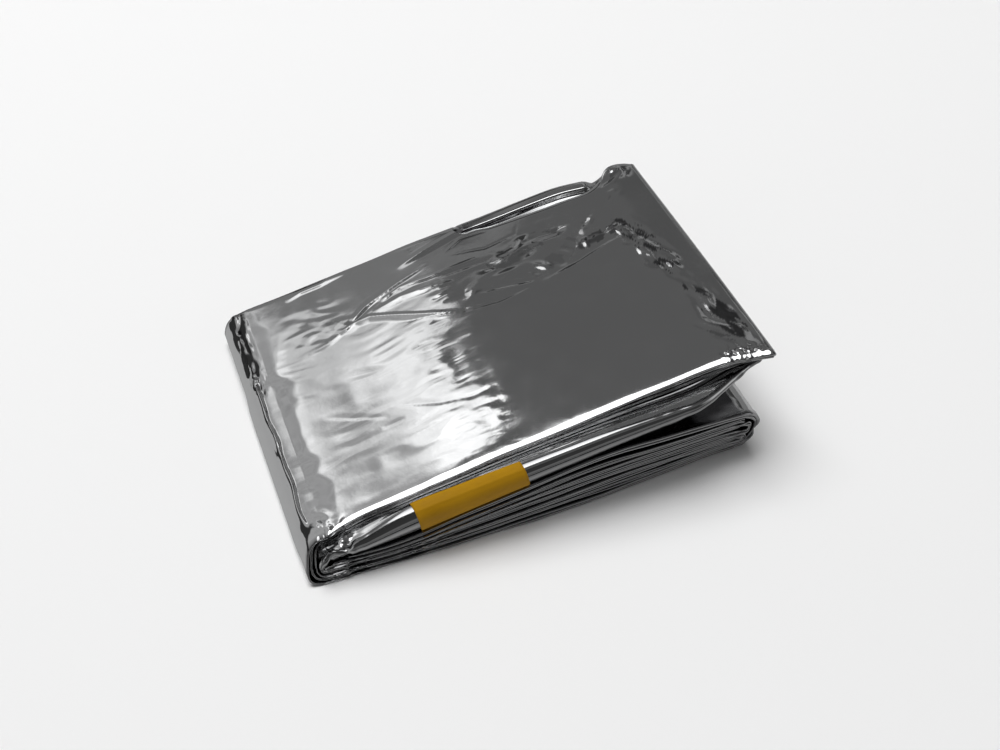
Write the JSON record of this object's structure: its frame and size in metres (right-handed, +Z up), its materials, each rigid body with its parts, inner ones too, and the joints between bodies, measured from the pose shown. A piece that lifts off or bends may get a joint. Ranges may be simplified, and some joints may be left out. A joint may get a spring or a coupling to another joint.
{
  "type": "folded emergency sleeping bag",
  "caption": "Emergency sleeping bag of silver metallised film, folded flat into a packet that springs open at one end, with a strip of tape on its front fold.",
  "frame": {"origin": "middle of the bounding box's underside, on the surface that the packet lies on", "axes": "+X from the closed end to the open end, +Y to the back, +Z up"},
  "size_m": [0.1132, 0.0882, 0.0297],
  "materials": {
    "film": "silver metallised polyester film, mirror-like, finely crinkled",
    "tape": "ochre adhesive tape, satin"
  },
  "bodies": {
    "root": {"folded_bag": "film", "tape": "tape"}
  },
  "joints": []
}
